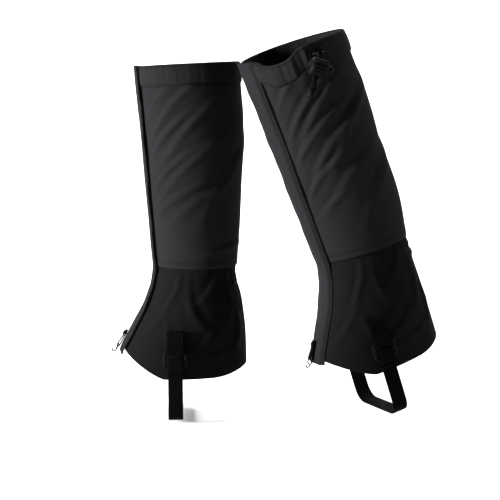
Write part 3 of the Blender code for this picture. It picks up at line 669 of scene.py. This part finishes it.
# ---------------------------------------------------------------------------------------------
# Cord lock. A ribbed acetal barrel that both strands pass through. A steel spring pushes a domed
# button out of its open end, which clamps the cord until the button is pressed.
# ---------------------------------------------------------------------------------------------
for name, side in PAIR.items():
    lock, across, down, out = lock_place(side)
    half, cavity = LOCK_LONG / 2, 0.0071
    shape = [(0.0009, -half), (LOCK_RADIUS - 0.0030, -half), (LOCK_RADIUS, -half + 0.0035),
             (LOCK_RADIUS, half - 0.002), (LOCK_RADIUS - 0.0012, half), (cavity + 0.0006, half),
             (cavity, half - 0.0008), (cavity, -half + 0.002), (0.0009, -half + 0.002)]
    barrel = turned(f"{name}_lock_barrel", side, rounded(shape), lock, across, 96, 16, 0.0011, ring=True)
    finish(barrel, acetal, f"{name}_cord_lock", "acetal", f"{name}_cord_lock_barrel")
    dome = [(0.0030, -0.0028), (0.0066, -0.0028), (0.0066, 0.0035), (0.0064, 0.0060), (0.0052, 0.0076),
            (0.0028, 0.0083), (0.0006, 0.0085)]
    button = turned(f"{name}_lock_button", side, rounded(dome), lock + across * half, across, 48)
    finish(button, acetal, f"{name}_lock_plunger", "acetal", f"{name}_cord_lock_plunger")
    coil_turn = np.linspace(0, 3 * 2 * np.pi, 73)
    level = -half + 0.0026 + 0.0030 * coil_turn / coil_turn[-1]
    coil = (lock + level[:, None] * across + 0.0042 * np.cos(coil_turn)[:, None] * out
            + 0.0042 * np.sin(coil_turn)[:, None] * down)
    spring = tube(f"{name}_lock_spring_coil", side, coil, 0.0004, 8)
    finish(spring, steel, f"{name}_cord_lock", "blackened_steel", f"{name}_cord_lock_spring")

# ---------------------------------------------------------------------------------------------
# Instep strap. Flat woven polypropylene webbing, 20 mm wide, runs under the arch of the boot. Its
# ribs run along it, and its edges are rounded by the weave.
# ---------------------------------------------------------------------------------------------
STRAP_WIDE, STRAP_THICK, STRAP_REACH, STRAP_TOP, STRAP_CORNER = 0.020, 0.0015, 0.0565, 0.0655, 0.016
webbing, tree, shader = start_material("woven_polypropylene_webbing", Roughness=0.85, Specular_IOR_Level=0.03)
place = add_node(tree, "ShaderNodeTexCoord")
ribs = add_node(tree, "ShaderNodeTexWave", {"Vector": place.outputs["UV"], "Scale": WAVE / 0.0021},
                wave_type="BANDS", bands_direction="X")
picks = add_node(tree, "ShaderNodeTexWave", {"Vector": place.outputs["UV"], "Scale": WAVE / 0.0013,
                                             "Distortion": 1.0}, wave_type="BANDS", bands_direction="Y")
both = add_node(tree, "ShaderNodeMath", {0: ribs.outputs["Fac"], 1: picks.outputs["Fac"]}, operation="MULTIPLY")
# Painted shade: the webbing is coloured darker where its weave is low, between the ribs, with the same pattern
# that makes its bump.
ramp = add_node(tree, "ShaderNodeMixRGB", {"Fac": both.outputs[0], "Color1": colour("#020203"),
                                           "Color2": colour("#050506")})
bump = add_node(tree, "ShaderNodeBump", {"Height": both.outputs[0], "Strength": 0.7, "Distance": 0.0006})
tree.links.new(ramp.outputs[0], shader.inputs["Base Color"])
tree.links.new(bump.outputs[0], shader.inputs["Normal"])


def arc(centre, radius, start, stop, steps):
    """Points (outward, up) on an arc, in degrees, each at its angle from straight inwards."""
    return [(centre[0] - radius * math.cos(math.radians(t)), centre[1] + radius * math.sin(math.radians(t)))
            for t in np.linspace(start, stop, steps)]


def squared(wave, power):
    """A sine or cosine pushed towards a square wave: its sign times its size to a power below one."""
    return np.sign(wave) * np.abs(wave) ** power


def band(name, side, route, wide, thick, across=(1.0, 0.0, 0.0), sides=20, fine=3):
    """Webbing along a route: a flat oval with full edges, carried along evenly spaced points."""
    route = np.array(route, float)
    for _ in range(fine):
        mid = (route[1:] + route[:-1]) / 2
        inner = (route[1:-1] * 6 + route[:-2] + route[2:]) / 8
        between = np.stack([mid[:-1], inner], axis=1).reshape(-1, 3)
        route = np.concatenate([route[:1], between, mid[-1:], route[-1:]])
    across = np.array(across, float)
    normal = unit(np.cross(unit(np.gradient(route, axis=0)), across))
    spin = np.linspace(0, 2 * np.pi, sides, endpoint=False) + 0.05
    flat = squared(np.cos(spin), 0.35) * wide / 2
    tall = squared(np.sin(spin), 0.6) * thick / 2
    points = route[:, None] + flat[None, :, None] * across + tall[None, :, None] * normal[:, None]
    faces = grid_faces(len(route), sides, close_cols=True) + end_caps(len(route), sides)
    uv = np.stack(np.broadcast_arrays(flat[None, :], run_along(route)[:, None]), axis=-1)
    return put_mesh(name, side, points, faces, uv)


for name, side in PAIR.items():
    reach, corner, half = STRAP_REACH, STRAP_CORNER, STRAP_THICK / 2
    run = [(-reach, STRAP_TOP), (-reach, 0.054), (-reach, 0.040), (-reach, 0.028)]
    run += arc((-reach + corner, half + corner), corner, 0, -90, 10)
    run += [(-0.020, half), (0.0, half)]
    run += [(-p, q) for p, q in run[-2::-1]]
    strap = band(f"{name}_instep_webbing", side, [(0, p, q) for p, q in run], STRAP_WIDE, STRAP_THICK, fine=2)
    finish(strap, webbing, f"{name}_gaiter", "webbing", f"{name}_instep_strap")

# ---------------------------------------------------------------------------------------------
# Buckles and tabs. Each end of the strap is threaded through a moulded ladder-lock buckle, which
# hangs in a folded webbing tab that is box-stitched to the lower panel.
# ---------------------------------------------------------------------------------------------
BUCKLE_WIDE, BUCKLE_TALL, BUCKLE_BOTTOM, BUCKLE_THICK, BUCKLE_REACH = 0.032, 0.022, 0.076, 0.0032, 0.0580
BAR, TAB_TOP, TAB_WIDE = 0.0030, 0.126, 0.0234
AXIS_LEVEL = BUCKLE_BOTTOM + BUCKLE_TALL - BAR / 2
BAR_LEVEL = BUCKLE_BOTTOM + BAR + 0.0055 + BAR / 2


def buckle_mesh(name, side, reach):
    """Outer frame: a rounded section carried round a rounded rectangle, with a straight bar across it."""
    rail, soft = 0.0040, 0.0030
    half_wide, half_tall = (BUCKLE_WIDE - rail) / 2, (BUCKLE_TALL - BAR) / 2
    corner = []
    for k in range(4):
        cx, cz = (half_wide - soft) * (1, -1, -1, 1)[k], (half_tall - soft) * (1, 1, -1, -1)[k]
        for t in np.linspace(0, math.pi / 2, 7):
            corner.append((cx + soft * math.cos(t + k * math.pi / 2), cz + soft * math.sin(t + k * math.pi / 2)))
    loop = np.array(corner)
    ahead = np.roll(loop, -1, axis=0) - np.roll(loop, 1, axis=0)
    outward = unit(ahead)[:, ::-1] * (1, -1)
    girth = np.where(np.abs(outward[:, 0]) > 0.7, rail, BAR) / 2
    spin = np.linspace(0, 2 * np.pi, 16, endpoint=False)
    flat = squared(np.cos(spin), 0.7)
    tall = reach + squared(np.sin(spin), 0.7) * BUCKLE_THICK / 2
    x = loop[:, :1] + outward[:, :1] * girth[:, None] * flat
    z = loop[:, 1:] + outward[:, 1:] * girth[:, None] * flat + BUCKLE_BOTTOM + BUCKLE_TALL / 2
    parts = [np.stack(np.broadcast_arrays(x, tall, z), axis=-1).reshape(-1, 3)]
    faces = grid_faces(len(loop), 16, close_cols=True, close_rows=True)
    x = np.linspace(-half_wide, half_wide, 12)[:, None]
    parts.append(np.stack(np.broadcast_arrays(x, tall, BAR_LEVEL + flat * BAR / 2), axis=-1).reshape(-1, 3))
    faces += grid_faces(12, 16, len(parts[0]), close_cols=True) + end_caps(12, 16, len(parts[0]))
    return put_mesh(name, side, np.concatenate(parts), faces)


for name, side in PAIR.items():
    body, lateral, half = f"{name}_gaiter", side["lateral"], STRAP_THICK / 2
    for which, sign in (("lateral", lateral), ("medial", -lateral)):
        reach = sign * BUCKLE_REACH
        rides = f"{name}_{which}_buckle"
        buckle = buckle_mesh(f"{name}_{which}_ladder_lock", side, reach)
        finish(buckle, acetal, rides, "acetal", rides)
        clear = math.hypot(BAR / 2, BUCKLE_THICK / 2) + half + 0.0003
        hook = [(-clear - 0.0004, STRAP_TOP - 0.0005), (-clear - 0.0004, BUCKLE_BOTTOM - 0.001),
                (-clear, BAR_LEVEL - 0.001)]
        hook += arc((0.0, BAR_LEVEL), clear, 0, 180, 7)
        hook += [(clear, BAR_LEVEL - 0.002), (clear, BUCKLE_BOTTOM - 0.004)]
        end = band(f"{name}_{which}_threaded_end", side, [(0, sign * (BUCKLE_REACH + p), q) for p, q in hook],
                   STRAP_WIDE, STRAP_THICK)
        finish(end, webbing, rides, "webbing", f"{name}_{which}_strap_end")
        loop = BAR * 0.75 + half + 0.0003
        fold = [(-loop, TAB_TOP), (-loop, AXIS_LEVEL + 0.004)]
        fold += arc((0.0, AXIS_LEVEL), loop, 0, -180, 7)
        fold += [(loop, AXIS_LEVEL + 0.004), (-loop + STRAP_THICK + 0.0003, AXIS_LEVEL + 0.012),
                 (-loop + STRAP_THICK + 0.0003, TAB_TOP)]
        tab = band(f"{name}_{which}_tab_fold", side, [(0, sign * (BUCKLE_REACH + p), q) for p, q in fold],
                   TAB_WIDE, STRAP_THICK)
        finish(tab, webbing, body, "webbing", f"{name}_{which}_buckle_tab")
        face = sign * (BUCKLE_REACH - loop + STRAP_THICK * 1.5 + 0.0004)
        low, high, wide = AXIS_LEVEL + 0.014, TAB_TOP - 0.002, TAB_WIDE / 2 - 0.002
        box = np.array([(-wide, low), (wide, low), (wide, high), (-wide, high), (-wide, low), (wide, high),
                        (wide, low), (-wide, high)])
        fine = np.linspace(0, len(box) - 1, 200)
        path = np.stack([np.interp(fine, range(len(box)), box[:, 0]), np.full(200, face),
                         np.interp(fine, range(len(box)), box[:, 1])], axis=-1)
        seam(f"{name}_{which}_box_stitch", side, path, np.tile([0.0, float(sign), 0.0], (200, 1)), body,
             pitch=0.0024)

# ---------------------------------------------------------------------------------------------
# Lace hook. A bent steel wire hangs in a narrow webbing tab that is riveted to the foot of the
# flap. It hooks under the boot's laces and holds the front of the gaiter down.
# ---------------------------------------------------------------------------------------------
HOOK_LEVEL, WIRE = 0.104, 0.0009
for name, side in PAIR.items():
    body = f"{name}_gaiter"
    front = np.interp([HOOK_LEVEL - 0.010, HOOK_LEVEL + 0.010], PROFILE[:, 0], PROFILE[:, 1])
    up = np.array([front[1] - front[0], 0.0, 0.020])
    up /= np.linalg.norm(up)
    out = np.cross((0.0, 1.0, 0.0), up)
    out = out if out[0] < 0 else -out
    base = np.array([np.interp(HOOK_LEVEL, PROFILE[:, 0], PROFILE[:, 1]) - 0.00465, 0.0, HOOK_LEVEL])
    hang = base + out * 0.0034 - up * 0.010
    loop, gap = WIRE + STRAP_THICK / 2 + 0.0003, STRAP_THICK / 2 + 0.0006
    route = [base + out * gap + up * 0.013, base + out * gap]
    route += [hang + out * p + up * q for p, q in arc((0.0, 0.0), loop, 0, -180, 7)]
    route += [base + out * (STRAP_THICK * 1.5 + 0.0009) + up * rise for rise in (0.003, 0.013)]
    tab = band(f"{name}_hook_webbing", side, route, 0.008, STRAP_THICK, across=(0.0, 1.0, 0.0))
    finish(tab, webbing, body, "webbing", f"{name}_hook_tab")
    cap = [(0.0006, 0.0058), (0.0022, 0.0056), (0.0033, 0.0050), (0.0035, 0.0041), (0.0015, 0.0040),
           (0.0015, -0.0077), (0.0030, -0.0078), (0.0030, -0.0086), (0.0006, -0.0086)]
    rivet = turned(f"{name}_rivet", side, cap, base + up * 0.008, out, 28)
    finish(rivet, steel, body, "blackened_steel", f"{name}_hook_rivet")
    half = [(0.0016, 0.0075), (0.0055, 0.0070), (0.0062, 0.0055), (0.0062, 0.0008), (0.0055, 0.0)]
    ring = half + [(-y, drop) for y, drop in half[::-1]]
    wire = [np.array([0, y, 0]) - up * drop for y, drop in ring]
    wire += [out * a - up * b + np.array([0, -0.0004, 0]) for a, b in
             ((-0.0004, 0.0100), (0.0012, 0.0122), (0.0036, 0.0118), (0.0048, 0.0092))]
    hook = tube(f"{name}_wire_hook", side, np.array(rounded(wire, 5)) + hang, WIRE, 12)
    finish(hook, steel, f"{name}_lace_hook", "blackened_steel", f"{name}_lace_hook")

# ---------------------------------------------------------------------------------------------
# Floor, light and camera. A pale studio floor curves up into a backdrop. A low key light stands on the
# left and a faint one on the right. One soft box washes the floor from above and behind, and another
# lights the backdrop.
# ---------------------------------------------------------------------------------------------
curve = [(2.5 + math.sin(t), 1 - math.cos(t)) for t in np.linspace(0.1, 1.57, 14)]
run = [(-4.0, 0.0), (2.5, 0.0), *curve, (3.5, 5.0)]
points = np.array([(x, y, z - 0.004) for y, z in run for x in (-5.0, 5.0)])
mesh = bpy.data.meshes.new("studio_floor")
mesh.from_pydata(points.tolist(), [], grid_faces(len(run), 2))
mesh.polygons.foreach_set("use_smooth", np.ones(len(mesh.polygons), bool))
floor = bpy.data.objects.new("studio_floor", mesh)
bpy.context.scene.collection.objects.link(floor)
paint, tree, shader = start_material("matt_white_paint", Roughness=0.9, Base_Color=colour("#f4f4f4"))
floor.data.materials.append(paint)


def area_light(name, spot, target, wide, tall, watts):
    """A rectangular soft box that faces its target."""
    data = bpy.data.lights.new(name, "AREA")
    data.shape = "RECTANGLE"
    data.size, data.size_y, data.energy = wide, tall, watts
    light = bpy.data.objects.new(name, data)
    light.location = spot
    light.rotation_euler = (Vector(target) - Vector(spot)).to_track_quat("-Z", "Y").to_euler()
    bpy.context.scene.collection.objects.link(light)


area_light("key", (-2.35, -0.82, 0.55), (0.1, -0.05, 0.28), 0.35, 0.6, 300.0)
area_light("rim_fill", (2.0, -0.25, 0.6), (0.3, -0.08, 0.28), 0.4, 0.8, 18.0)
area_light("floor_wash", (0.1, 0.9, 2.4), (0.1, 0.6, 0.0), 2.5, 2.5, 48.0)
area_light("backdrop", (0.0, 1.2, 2.6), (0.0, 3.0, 0.6), 2.5, 1.0, 160.0)
world = bpy.data.worlds.new("studio")
world.use_nodes = True
world.node_tree.nodes["Background"].inputs["Color"].default_value = (1.0, 1.0, 1.0, 1.0)
world.node_tree.nodes["Background"].inputs["Strength"].default_value = 0.015
bpy.context.scene.world = world
bpy.context.scene.view_settings.view_transform = "Standard"

view = bpy.data.cameras.new("camera")
view.sensor_width = 36.0
view.lens = 2.174 * view.sensor_width
camera = bpy.data.objects.new("camera", view)
camera.location = (0.1035, -1.464, 0.457)
camera.rotation_euler = (math.radians(90.0 - 8.94), 0.0, 0.0)
bpy.context.scene.collection.objects.link(camera)
bpy.context.scene.camera = camera
